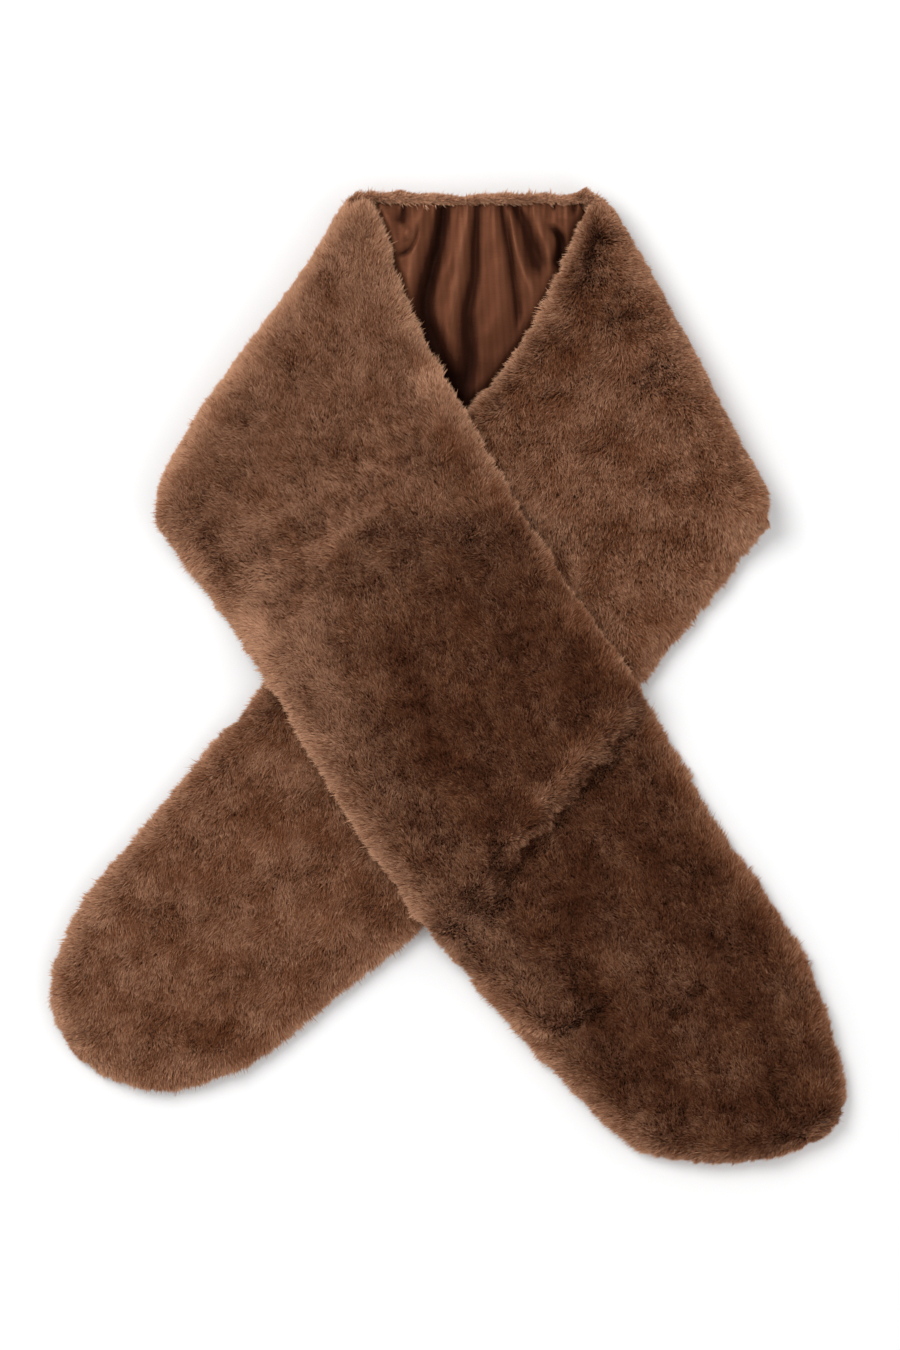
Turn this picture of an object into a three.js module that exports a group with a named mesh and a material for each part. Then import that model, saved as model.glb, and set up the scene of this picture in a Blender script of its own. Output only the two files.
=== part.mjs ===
// A fur collar wrap laid flat on a table: one long strip of plush with rounded ends and a satin lining.
// The back of the neck lies pile down. At each shoulder the strip folds over on itself, so both bands
// lie pile up, and one band crosses over the other.
// Millimetres, +Z up. The origin is under the centre of the back of the neck, on the table.
import * as THREE from "three";

// Thicknesses of the cloth as it lies, pile included.
const band = { thickness: 15, edgeHeight: 5.5, upperRound: 14, lowerRound: 5 };
const back = { thickness: 12, edgeHeight: 7.6, upperRound: 5, lowerRound: 9 };
const roll = { width: 6.8, height: 4.6 }; // the pile edge that turns over the lining at the neck
const lining = { wall: 1.2, hem: 7.6, lowerInset: 24, sideInset: 3, columns: 56, rows: 16 };
const liningCrowding = 0.8; // below 1 the lining's rows stand closer together towards the neck
const seam = 0.3; // clearance between sewn pieces
const seamGap = 0.36; // clearance where two seams meet at a slant
const layerGap = 0.6; // clearance between one band and the band that lies on it
const innerFold = lining.wall / 2 + seam; // half the space inside a fold, which holds the lining
const bandOnBack = back.thickness + 2 * innerFold; // height of a band's underside on the back of the neck
const station = 10; // spacing of the sections along a band
const outlineSteps = 4; // points between two rows when a band's edge is measured to
const foldSteps = 7; // sections round a shoulder fold
const backSteps = 24; // sections along the back of the neck

// How the upper cloth comes down past the edge of what lies under it.
const drop = {
  under: { start: -77, length: 30 }, // the lower band steps off the back of the neck
  over: { start: -80, length: 44 }, // the upper band does so later and more gently
  neckSide: 34, // the upper band off the lower band's neck edge
  creaseShort: 13, // and off its outer edge, where a crease shows
  creaseLong: 34, // the same step further in, where it fades
};

// Each row is one section of a band, from the outer shoulder edge (a) to the neck edge (b).
const overRows = [
  { ax: -160.5, ay: -75, bx: -60.5, by: 80 }, // the fold at the shoulder
  { ax: -152, ay: -91, bx: -46, by: 71 },
  { ax: -140.5, ay: -107, bx: -38, by: 51 },
  { ax: -127, ay: -125, bx: -30.5, by: 27.5 },
  { ax: -113, ay: -145.5, bx: -19, by: 1 },
  { ax: -99, ay: -165, bx: -2, by: -29 },
  { ax: -65.5, ay: -222.5, bx: 39.5, by: -101 },
  { ax: -27, ay: -280, bx: 82, by: -161 },
  { ax: 3, ay: -316, bx: 109, by: -209 },
  { ax: 22, ay: -337.5, bx: 128.5, by: -242 },
  { ax: 41, ay: -358, bx: 149.5, by: -271 },
  { ax: 67.5, ay: -385, bx: 171.5, by: -308 },
  { ax: 87, ay: -401, bx: 183, by: -339 },
  { ax: 112, ay: -406.5, bx: 189.5, by: -365 },
  { ax: 137, ay: -407.5, bx: 189.5, by: -380 },
  { ax: 157, ay: -403.5, bx: 184.5, by: -389 },
  { ax: 172, ay: -398, bx: 172, by: -398 }, // the rounded tip
];

// The same for the lower band, from the neck edge (a) to the outer shoulder edge (b).
const underRows = [
  { ax: 70.5, ay: 81.5, bx: 158, by: -75.5 }, // the fold at the shoulder
  { ax: 59, ay: 69, bx: 149.5, by: -90 },
  { ax: 52, ay: 53.5, bx: 139, by: -103.5 },
  { ax: 45, ay: 37, bx: 126, by: -120 },
  { ax: 33.5, ay: 13, bx: 113, by: -136 },
  { ax: 17, ay: -11, bx: 97, by: -156 },
  { ax: -2, ay: -33, bx: 85, by: -172 },
  { ax: -48, ay: -97.5, bx: 39.5, by: -222.5 },
  { ax: -99, ay: -164, bx: -21, by: -287.5 },
  { ax: -142, ay: -215, bx: -67, by: -325 },
  { ax: -167, ay: -245, bx: -91, by: -345 },
  { ax: -184.5, ay: -265, bx: -110.5, by: -358.5 },
  { ax: -198, ay: -287.5, bx: -130.5, by: -366 },
  { ax: -206, ay: -309, bx: -150.5, by: -370 },
  { ax: -207, ay: -326.5, bx: -170.5, by: -366.5 },
  { ax: -202, ay: -342, bx: -184.5, by: -360.5 },
  { ax: -194, ay: -353, bx: -194, by: -353 }, // the rounded tip
];
const underSplit = 7; // the row, hidden under the upper band, where the two stretches that show meet

// Where the folded strip comes back under itself and meets the back of the neck.
const leftSeam = { ax: -138, ay: -75, bx: -45, by: 80 };
const rightSeam = { ax: 55, ay: 80, bx: 138, by: -75 };
// How far each shoulder fold bulges past a straight line, evenly and to one end.
const leftBow = { even: 1.2, sway: 2.2 };
const rightBow = { even: 1.1, sway: 1 };

// Soft hollows pressed into the pile: centre, half length, half width, turn in degrees, depth.
const overHollows = [
  { x: -115, y: -80, long: 34, wide: 18, turn: 55, deep: 2.2 },
  { x: -38, y: -118, long: 46, wide: 22, turn: -60, deep: 2.4 },
  { x: 12, y: -158, long: 40, wide: 20, turn: -35, deep: 2.2 },
  { x: -14, y: -232, long: 36, wide: 16, turn: -58, deep: 2.4 },
  { x: 62, y: -246, long: 44, wide: 16, turn: 42, deep: 2.6 },
  { x: 44, y: -318, long: 30, wide: 15, turn: -20, deep: 2.6 },
  { x: 128, y: -322, long: 34, wide: 18, turn: 60, deep: 2.2 },
];
const underHollows = [
  { x: 78, y: 20, long: 40, wide: 15, turn: -65, deep: 2.2 },
  { x: 44, y: -22, long: 26, wide: 16, turn: 40, deep: 2.0 },
  { x: 118, y: -62, long: 30, wide: 16, turn: -50, deep: 2.0 },
  { x: -128, y: -258, long: 34, wide: 18, turn: 50, deep: 2.2 },
  { x: -128, y: -334, long: 26, wide: 12, turn: -10, deep: 2.8 },
  { x: -84, y: -300, long: 26, wide: 14, turn: 60, deep: 2.0 },
];

// The gathers of the satin: the ridge line at the hem (topX) and lower down (lowX), its width and height.
const gathers = [
  { topX: -40.5, lowX: -50, wide: 4.5, high: 3.4 },
  { topX: -27, lowX: -35, wide: 5.5, high: 4.2 },
  { topX: -3, lowX: -12, wide: 6.5, high: 4.8 },
  { topX: 12, lowX: 9, wide: 5.5, high: 5 },
  { topX: 23, lowX: 42, wide: 3, high: 3.4 },
  { topX: 34.5, lowX: 52, wide: 5, high: 4.4 },
  { topX: 52, lowX: 68, wide: 5.5, high: 3.6 },
];
const gatherSpan = { top: 73, low: -33 }; // between these heights each ridge runs straight
const gatherSpread = 1.35; // how much wider a ridge is lower down than at the hem
const gatherFade = { start: 2, length: 7 }; // how they rise, measured from the bands' neck edges

const smooth = (t) => {
  const c = Math.min(1, Math.max(0, t));
  return c * c * (3 - 2 * c);
};
const mix = (p, q, t) => p + (q - p) * t;
const quarterRound = (distance, radius) => {
  const s = 1 - Math.min(1, Math.max(0, distance / radius));
  return Math.sqrt(1 - s * s);
};

// The two edges of a band as smooth curves: at(t) gives one section, with t counted in rows.
function bandEdges(rows) {
  const curve = (x, y) =>
    new THREE.CatmullRomCurve3(rows.map((r) => new THREE.Vector3(r[x], r[y], 0)), false, "centripetal");
  const a = curve("ax", "ay");
  const b = curve("bx", "by");
  const last = rows.length - 1;
  const at = (t) => ({ a: a.getPoint(t / last), b: b.getPoint(t / last) });
  const outline = [];
  for (let i = 0; i <= last * outlineSteps; i++) outline.push(at(i / outlineSteps));
  return { at, last, outline };
}

// The stations from one row to another, about one spacing apart and closer where rows are close.
function stations(edges, from, to) {
  const list = [from];
  for (let row = Math.floor(from); row < to; row++) {
    const start = Math.max(from, row);
    const end = Math.min(to, row + 1);
    const p = edges.at(start);
    const q = edges.at(end);
    const reach = Math.max(p.a.distanceTo(q.a), p.b.distanceTo(q.b));
    const steps = Math.max(1, Math.round(reach / station));
    for (let k = 1; k <= steps; k++) list.push(mix(start, end, k / steps));
  }
  return list;
}

function distanceToSegment(point, p, q) {
  const dx = q.x - p.x;
  const dy = q.y - p.y;
  const t = ((point.x - p.x) * dx + (point.y - p.y) * dy) / (dx * dx + dy * dy || 1e-9);
  const c = Math.min(1, Math.max(0, t));
  return Math.hypot(point.x - p.x - c * dx, point.y - p.y - c * dy);
}

function nearestSegment(point, path) {
  let nearest = 1;
  for (let i = 2; i < path.length; i++) {
    const d = distanceToSegment(point, path[i - 1], path[i]);
    if (d < distanceToSegment(point, path[nearest - 1], path[nearest])) nearest = i;
  }
  return nearest;
}

function distanceToPath(point, path) {
  const i = nearestSegment(point, path);
  return distanceToSegment(point, path[i - 1], path[i]);
}

const distanceToSides = (point, edges) =>
  Math.min(
    distanceToPath(point, edges.outline.map((s) => s.a)),
    distanceToPath(point, edges.outline.map((s) => s.b)),
  );

// How far a point lies outside the straight line from p to q, on the side to the right of it.
function beside(point, p, q) {
  const dx = q.x - p.x;
  const dy = q.y - p.y;
  return ((point.x - p.x) * dy - (point.y - p.y) * dx) / Math.hypot(dx, dy);
}

const over = bandEdges(overRows);
const under = bandEdges(underRows);
const overNeckEdge = over.outline.map((section) => section.b);
const underNeckEdge = under.outline.map((section) => section.a);

// The lower band's edges where the upper band crosses it, as straight lines.
const crossing = {
  neckStart: under.at(6).a,
  neckEnd: under.at(8).a,
  outerStart: under.at(6).b,
  outerEnd: under.at(8).b,
};

const liftOffBack = (y, step) => bandOnBack * (1 - smooth((step.start - y) / step.length));
const underBase = (p) => liftOffBack(p.y, drop.under);

function overBase(p) {
  const { neckStart, neckEnd, outerStart, outerEnd } = crossing;
  const pastNeckSide = beside(p, neckStart, neckEnd);
  const pastOuterSide = -beside(p, outerStart, outerEnd);
  const along = 1 - Math.min(1, Math.max(0, (outerStart.x - p.x) / (outerStart.x - outerEnd.x)));
  const outerDrop = mix(drop.creaseLong, drop.creaseShort, smooth(along));
  const carried = (1 - smooth(pastNeckSide / drop.neckSide)) * (1 - smooth(pastOuterSide / outerDrop));
  return liftOffBack(p.y, drop.over) + (band.thickness + layerGap) * carried;
}

function hollowDepth(p, hollows) {
  let depth = 0;
  for (const h of hollows) {
    const turn = THREE.MathUtils.degToRad(h.turn);
    const x = (p.x - h.x) * Math.cos(turn) + (p.y - h.y) * Math.sin(turn);
    const y = (p.y - h.y) * Math.cos(turn) - (p.x - h.x) * Math.sin(turn);
    depth = Math.max(depth, h.deep * Math.exp(-((x / h.long) ** 2) - (y / h.wide) ** 2));
  }
  return depth;
}

// Shares of a section's width where its points lie, closer together at the rounded edges.
const shares = [0, 0.007, 0.03, 0.07, 0.13, 0.22, 0.34, 0.5, 0.66, 0.78, 0.87, 0.93, 0.97, 0.993, 1];

const across = (section, share) => new THREE.Vector3().lerpVectors(section.a, section.b, share);

// Distances through the cloth, from its lining side, of the pile side and the lining side.
function layers(distance, cloth, thickness) {
  const scale = thickness / cloth.thickness;
  const mid = cloth.edgeHeight * scale;
  return {
    pile: mid + (thickness - mid) * quarterRound(distance, cloth.upperRound),
    plain: mid * (1 - quarterRound(distance, cloth.lowerRound)),
  };
}

// The rows of a shoulder fold, from the seam under the band round to its upper side.
function foldRows(edges, seamRow, bow, hollows) {
  const fold = edges.at(0);
  const top = edges.at(1);
  const chord = new THREE.Vector3().subVectors(fold.b, fold.a);
  const outward = new THREE.Vector3(chord.y, -chord.x, 0).normalize();
  if (outward.dot(new THREE.Vector3().subVectors(fold.a, top.a)) < 0) outward.negate();
  const seamSection = {
    a: new THREE.Vector3(seamRow.ax, seamRow.ay, 0),
    b: new THREE.Vector3(seamRow.bx, seamRow.by, 0),
  };
  const rows = [];
  for (let step = 0; step < foldSteps; step++) {
    const angle = Math.PI * (1 - step / foldSteps);
    const share = (1 - Math.cos(angle)) / 2;
    const thickness = mix(band.thickness, back.thickness, share);
    rows.push(
      shares.map((s) => {
        const bulge = bow.even * Math.sin(Math.PI * s) + bow.sway * Math.sin(2 * Math.PI * s);
        const outermost = across(fold, s).addScaledVector(outward, bulge);
        const upper = across(top, s);
        const centre = upper.clone().lerp(across(seamSection, s), share);
        const through = layers(distanceToSides(upper, edges), band, thickness);
        through.pile -= hollowDepth(upper, hollows) * (1 - share);
        const place = (depth) => {
          const reach = (Math.sin(angle) * (innerFold + depth)) / (innerFold + thickness);
          const p = centre.clone().lerp(outermost, reach);
          p.z = back.thickness + innerFold + Math.cos(angle) * (innerFold + depth);
          return p;
        };
        return { upper: place(through.pile), lower: place(through.plain) };
      }),
    );
  }
  return rows;
}

// The rows of a band between two stations, lying pile up on whatever base carries it.
function flatRows(edges, from, to, base, hollows) {
  return stations(edges, from, to).map((t) =>
    shares.map((s) => {
      const p = across(edges.at(t), s);
      const through = layers(distanceToSides(p, edges), band, band.thickness);
      const height = base(p);
      const upper = height + Math.max(through.plain, through.pile - hollowDepth(p, hollows));
      return {
        upper: new THREE.Vector3(p.x, p.y, upper),
        lower: new THREE.Vector3(p.x, p.y, height + through.plain),
      };
    }),
  );
}

// Closes an upper and a lower sheet of points into one solid. Their side columns are shared.
// Each end is a wall, or a single point where the last section has no width.
function cushion(rows) {
  const points = [];
  const index = [];
  const add = (p) => points.push(p.x, p.y, p.z) / 3 - 1;
  const numbers = rows.map((row) => {
    const last = row.length - 1;
    if (row[0].upper.distanceTo(row[last].upper) < 1e-6) {
      const tip = add(row[0].upper);
      return { upper: row.map(() => tip), lower: row.map(() => tip) };
    }
    const upper = row.map((cell) => add(cell.upper));
    const lower = row.map((cell, c) => (c === 0 || c === last ? upper[c] : add(cell.lower)));
    return { upper, lower };
  });
  const triangle = (a, b, c) => {
    if (a !== b && b !== c && c !== a) index.push(a, b, c);
  };
  const quad = (a, b, c, d) => {
    triangle(a, b, c);
    triangle(a, c, d);
  };
  for (let r = 1; r < numbers.length; r++) {
    const p = numbers[r - 1];
    const q = numbers[r];
    for (let c = 1; c < p.upper.length; c++) {
      quad(p.upper[c - 1], q.upper[c - 1], q.upper[c], p.upper[c]);
      quad(p.lower[c], q.lower[c], q.lower[c - 1], p.lower[c - 1]);
    }
  }
  const first = numbers[0];
  const end = numbers[numbers.length - 1];
  for (let c = 1; c < first.upper.length; c++) {
    quad(first.upper[c - 1], first.upper[c], first.lower[c], first.lower[c - 1]);
    quad(end.lower[c - 1], end.lower[c], end.upper[c], end.upper[c - 1]);
  }
  const geometry = new THREE.BufferGeometry();
  geometry.setAttribute("position", new THREE.Float32BufferAttribute(points, 3));
  geometry.setIndex(index);
  geometry.computeVertexNormals();
  return geometry;
}

// The back of the neck, pile down, from one shoulder seam to the other. Columns run from its lower
// edge up to the neck, where the pile turns over the lining as a narrow roll.
const backShares = [0, 0.008, 0.03, 0.065, 0.16, 0.3, 0.45, 0.6, 0.75, 0.88, 0.9535, 0.962, 0.974, 0.986, 0.995, 1];

function backPoint(along, share) {
  const lowX = mix(leftSeam.ax + seamGap, rightSeam.bx - seamGap, along);
  const topX = mix(leftSeam.bx + seamGap, rightSeam.ax - seamGap, along);
  return new THREE.Vector3(mix(lowX, topX, share), mix(leftSeam.ay, leftSeam.by, share), 0);
}

function backNeck() {
  const rows = [];
  for (let i = 0; i <= backSteps; i++) {
    rows.push(
      backShares.map((share) => {
        const p = backPoint(i / backSteps, share);
        const fromNeck = leftSeam.by - p.y;
        const edge = Math.min(fromNeck, p.y - leftSeam.ay);
        const plain = mix(back.edgeHeight, back.thickness, quarterRound(edge, back.upperRound));
        const rolled = fromNeck < roll.width ? roll.height * Math.sin((Math.PI * fromNeck) / roll.width) : 0;
        const under = back.edgeHeight * (1 - quarterRound(edge, back.lowerRound));
        return {
          upper: new THREE.Vector3(p.x, p.y, plain + rolled),
          lower: new THREE.Vector3(p.x, p.y, under),
        };
      }),
    );
  }
  return cushion(rows);
}

// How far a point lies past the neck edge of a band, into the opening of the neck.
function pastNeckEdge(point, path, side) {
  const i = nearestSegment(point, path);
  return side * Math.sign(beside(point, path[i - 1], path[i])) * distanceToPath(point, path);
}

// The height of the satin's gathers. They die away where the bands lie on the lining.
function gatherHeight(p) {
  const inside = Math.min(pastNeckEdge(p, overNeckEdge, -1), pastNeckEdge(p, underNeckEdge, 1));
  const down = (gatherSpan.top - p.y) / (gatherSpan.top - gatherSpan.low);
  let height = 0;
  for (const g of gathers) {
    const offset = (p.x - mix(g.topX, g.lowX, down)) / (g.wide * mix(1, gatherSpread, down));
    height = Math.max(height, g.high * Math.exp(-offset * offset));
  }
  return height * smooth((inside - gatherFade.start) / gatherFade.length);
}

function neckLining() {
  const heights = [];
  for (let r = 0; r <= lining.rows; r++) {
    const share = (r / lining.rows) ** liningCrowding;
    heights.push(mix(leftSeam.ay + lining.lowerInset, leftSeam.by - lining.hem, share));
  }
  const rows = [];
  for (let i = 0; i <= lining.columns; i++) {
    rows.push(
      heights.map((y) => {
        const share = (y - leftSeam.ay) / (leftSeam.by - leftSeam.ay);
        const left = backPoint(0, share).x + lining.sideInset;
        const right = backPoint(1, share).x - lining.sideInset;
        const p = new THREE.Vector3(mix(left, right, i / lining.columns), y, 0);
        const floor = back.thickness + seam + gatherHeight(p);
        return {
          upper: new THREE.Vector3(p.x, p.y, floor + lining.wall),
          lower: new THREE.Vector3(p.x, p.y, floor),
        };
      }),
    );
  }
  return slab(rows);
}

// A wall of even thickness, closed by a narrow face along all four sides.
function slab(rows) {
  const width = rows[0].length;
  const points = rows.flat().flatMap((c) => [c.upper.x, c.upper.y, c.upper.z, c.lower.x, c.lower.y, c.lower.z]);
  const index = [];
  const at = (r, c, side) => 2 * (r * width + c) + side;
  const quad = (a, b, c, d) => index.push(a, b, c, a, c, d);
  for (let r = 1; r < rows.length; r++) {
    for (let c = 1; c < width; c++) {
      quad(at(r - 1, c - 1, 0), at(r, c - 1, 0), at(r, c, 0), at(r - 1, c, 0));
      quad(at(r - 1, c, 1), at(r, c, 1), at(r, c - 1, 1), at(r - 1, c - 1, 1));
    }
    quad(at(r - 1, 0, 1), at(r, 0, 1), at(r, 0, 0), at(r - 1, 0, 0));
    quad(at(r - 1, width - 1, 0), at(r, width - 1, 0), at(r, width - 1, 1), at(r - 1, width - 1, 1));
  }
  const end = rows.length - 1;
  for (let c = 1; c < width; c++) {
    quad(at(0, c - 1, 0), at(0, c, 0), at(0, c, 1), at(0, c - 1, 1));
    quad(at(end, c - 1, 1), at(end, c, 1), at(end, c, 0), at(end, c - 1, 0));
  }
  const geometry = new THREE.BufferGeometry();
  geometry.setAttribute("position", new THREE.Float32BufferAttribute(points, 3));
  geometry.setIndex(index);
  geometry.computeVertexNormals();
  return geometry;
}

const overBand = () =>
  cushion([...foldRows(over, leftSeam, leftBow, overHollows), ...flatRows(over, 1, over.last, overBase, overHollows)]);

const underShoulder = () =>
  cushion([
    ...foldRows(under, rightSeam, rightBow, underHollows),
    ...flatRows(under, 1, underSplit, underBase, underHollows),
  ]);

function underTail() {
  const ahead = under.at(underSplit).a.distanceTo(under.at(underSplit + 1).a);
  return cushion(flatRows(under, underSplit + seamGap / ahead, under.last, underBase, underHollows));
}

const plush = { color: 0x7a5039, roughness: 0.95, metalness: 0 };
const satin = { color: 0x6e3f2b, roughness: 0.4, metalness: 0 };

function piece(name, geometry, finish) {
  const mesh = new THREE.Mesh(geometry, new THREE.MeshStandardMaterial(finish));
  mesh.name = name;
  return mesh;
}

const wrap = new THREE.Group();
wrap.add(
  piece("back_neck_fur", backNeck(), plush),
  piece("neck_lining", neckLining(), satin),
  piece("over_band_fur", overBand(), plush),
  piece("under_shoulder_fur", underShoulder(), plush),
  piece("under_tail_fur", underTail(), plush),
);

export default wrap;
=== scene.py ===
import math

import bmesh
import bpy
import numpy as np
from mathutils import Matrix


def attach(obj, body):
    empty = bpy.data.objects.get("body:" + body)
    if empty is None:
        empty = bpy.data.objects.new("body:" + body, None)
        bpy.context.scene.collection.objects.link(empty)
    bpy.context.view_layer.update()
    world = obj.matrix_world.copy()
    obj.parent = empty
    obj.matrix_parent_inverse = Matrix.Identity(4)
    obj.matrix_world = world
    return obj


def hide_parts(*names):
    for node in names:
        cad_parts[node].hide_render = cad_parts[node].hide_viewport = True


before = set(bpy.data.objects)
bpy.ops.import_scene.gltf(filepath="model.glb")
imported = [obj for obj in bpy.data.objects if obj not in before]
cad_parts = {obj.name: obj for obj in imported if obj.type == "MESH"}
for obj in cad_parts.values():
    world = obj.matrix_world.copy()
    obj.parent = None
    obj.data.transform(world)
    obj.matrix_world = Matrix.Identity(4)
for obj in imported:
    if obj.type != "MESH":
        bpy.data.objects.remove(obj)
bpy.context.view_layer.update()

# Shapes are worked out in millimetres and go into the meshes in metres.
mm = 0.001

# Camera, floor and light

cameraSizes = dict(distance=2.7, filmHeight=36, pictureHeight=0.675, x=-0.008, y=-0.1625, farthest=20)
studioSizes = dict(world=0.72, aim=(0, -0.16, 0), floorSide=6, floorLevel=-0.0003)
keyLight = dict(power=21, size=1.1, place=(-0.75, 0.55, 1.6))
fillLight = dict(power=5, size=1.4, place=(1.1, -0.9, 1.5))


def placeCamera(sizes):
    data = bpy.data.cameras.new("camera")
    data.sensor_fit = "VERTICAL"
    data.sensor_height = sizes["filmHeight"]
    data.lens = sizes["filmHeight"] * sizes["distance"] / sizes["pictureHeight"]
    data.clip_end = sizes["farthest"]
    camera = bpy.data.objects.new("camera", data)
    camera.location = (sizes["x"], sizes["y"], sizes["distance"])  # it looks straight down, with +Y up
    bpy.context.scene.collection.objects.link(camera)
    bpy.context.scene.camera = camera


def addAreaLight(name, sizes, aim):
    data = bpy.data.lights.new(name, "AREA")
    data.shape = "DISK"
    data.size = sizes["size"]
    data.energy = sizes["power"]
    light = bpy.data.objects.new(name, data)
    light.location = sizes["place"]
    way = np.array(aim) - np.array(sizes["place"])
    light.rotation_euler = (math.atan2(math.hypot(way[0], way[1]), -way[2]), 0, math.atan2(-way[0], way[1]))
    bpy.context.scene.collection.objects.link(light)


def buildStudio(sizes):
    world = bpy.data.worlds.new("studio")
    world.use_nodes = True
    world.node_tree.nodes["Background"].inputs["Color"].default_value = (1, 1, 1, 1)
    world.node_tree.nodes["Background"].inputs["Strength"].default_value = sizes["world"]
    bpy.context.scene.world = world
    addAreaLight("keyLight", keyLight, sizes["aim"])
    addAreaLight("fillLight", fillLight, sizes["aim"])
    bpy.context.scene.view_settings.view_transform = "Standard"
    side, level = sizes["floorSide"], sizes["floorLevel"]
    mesh = bpy.data.meshes.new("floor")
    corners = [(-side, -side, level), (side, -side, level), (side, side, level), (-side, side, level)]
    mesh.from_pydata(corners, [], [(0, 1, 2, 3)])
    floor = bpy.data.objects.new("floor", mesh)
    bpy.context.scene.collection.objects.link(floor)
    floor.data.materials.append(paper())


# Materials

plushColors = [(0.0, (0.014, 0.0036, 0.0012)), (0.25, (0.069, 0.0187, 0.0065)), (0.5, (0.160, 0.0502, 0.0198)),
               (0.75, (0.272, 0.108, 0.0515)), (1.0, (0.438, 0.222, 0.127)), (1.3, (0.585, 0.325, 0.196))]
strandMap = "OFBake"
bladeBelly = 0.58
rootShare = 0.36
backingColors = [(0.0, (0.022, 0.0075, 0.0035)), (1.0, (0.085, 0.031, 0.014))]
# Satin colours from the painted shade in its troughs, nearly black, through its own red brown to the painted
# sheen on its ridges.
satinShadeAndColors = [(0.0, (0.0085, 0.0026, 0.0015)), (0.35, (0.028, 0.0088, 0.0046)), (0.7, (0.105, 0.037, 0.0185)),
               (1.0, (0.215, 0.088, 0.048))]


def newMaterial(name):
    material = bpy.data.materials.new(name)
    material.use_nodes = True
    return material, material.node_tree.nodes["Principled BSDF"]


def setInputs(node, values):
    for name, value in values.items():
        node.inputs[name].default_value = value


# A colour ramp through rows of place and colour. The last row is the ramp's end.
def colorRamp(nodes, rows):
    ramp = nodes.new("ShaderNodeValToRGB")
    stops = ramp.color_ramp.elements
    reach = rows[-1][0]
    for row in rows[1:-1]:
        stops.new(row[0] / reach)
    for stop, (place, color) in zip(stops, rows):
        stop.position = place / reach
        stop.color = (*color, 1)
    return ramp


def paper():
    material, shader = newMaterial("paleFloor")
    setInputs(shader, {"Base Color": (0.88, 0.88, 0.88, 1), "Roughness": 0.9, "Specular IOR Level": 0.1})
    return material


def addBump(material, shader, height, strength, distance):
    nodes, links = material.node_tree.nodes, material.node_tree.links
    bump = nodes.new("ShaderNodeBump")
    setInputs(bump, {"Strength": strength, "Distance": distance})
    links.new(height, bump.inputs["Height"])
    links.new(bump.outputs["Normal"], shader.inputs["Normal"])


# The pile's colour is one ramp from dark to pale, read at the strand's tone times a share that grows from
# rootShare to 1. Both are kept in the strand's map: tone / 2 across and the place along the strand upwards.
# The ramp ends at a tone above 1, for the palest tips.
def pileMaterial():
    material, shader = newMaterial("plushPile")
    nodes, links = material.node_tree.nodes, material.node_tree.links
    attribute = nodes.new("ShaderNodeUVMap")
    attribute.uv_map = strandMap
    split = nodes.new("ShaderNodeSeparateXYZ")
    links.new(attribute.outputs["UV"], split.inputs["Vector"])
    along = nodes.new("ShaderNodeMapRange")
    reach = plushColors[-1][0]
    setInputs(along, {"To Min": 2 * rootShare / reach, "To Max": 2 / reach})
    links.new(split.outputs["Y"], along.inputs["Value"])
    value = nodes.new("ShaderNodeMath")
    value.operation = "MULTIPLY"
    links.new(split.outputs["X"], value.inputs[0])
    links.new(along.outputs["Result"], value.inputs[1])
    ramp = colorRamp(nodes, plushColors)
    links.new(value.outputs["Value"], ramp.inputs["Fac"])
    links.new(ramp.outputs["Color"], shader.inputs["Base Color"])
    setInputs(shader, {"Roughness": 0.6, "Specular IOR Level": 0.03, "Sheen Weight": 0.05,
                       "Sheen Roughness": 0.5, "Sheen Tint": (0.80, 0.50, 0.36, 1)})
    return material


# The knitted backing between the strands: dark brown with a fine fuzzy grain.
def backingMaterial():
    material, shader = newMaterial("plushBacking")
    nodes, links = material.node_tree.nodes, material.node_tree.links
    where = nodes.new("ShaderNodeTexCoord")
    grain = nodes.new("ShaderNodeTexNoise")
    setInputs(grain, {"Scale": 900, "Detail": 3})
    links.new(where.outputs["Object"], grain.inputs["Vector"])
    ramp = colorRamp(nodes, backingColors)
    links.new(grain.outputs["Fac"], ramp.inputs["Fac"])
    links.new(ramp.outputs["Color"], shader.inputs["Base Color"])
    addBump(material, shader, grain.outputs["Fac"], 0.6, 0.0006)
    setInputs(shader, {"Roughness": 0.95, "Specular IOR Level": 0.15})
    return material


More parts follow.
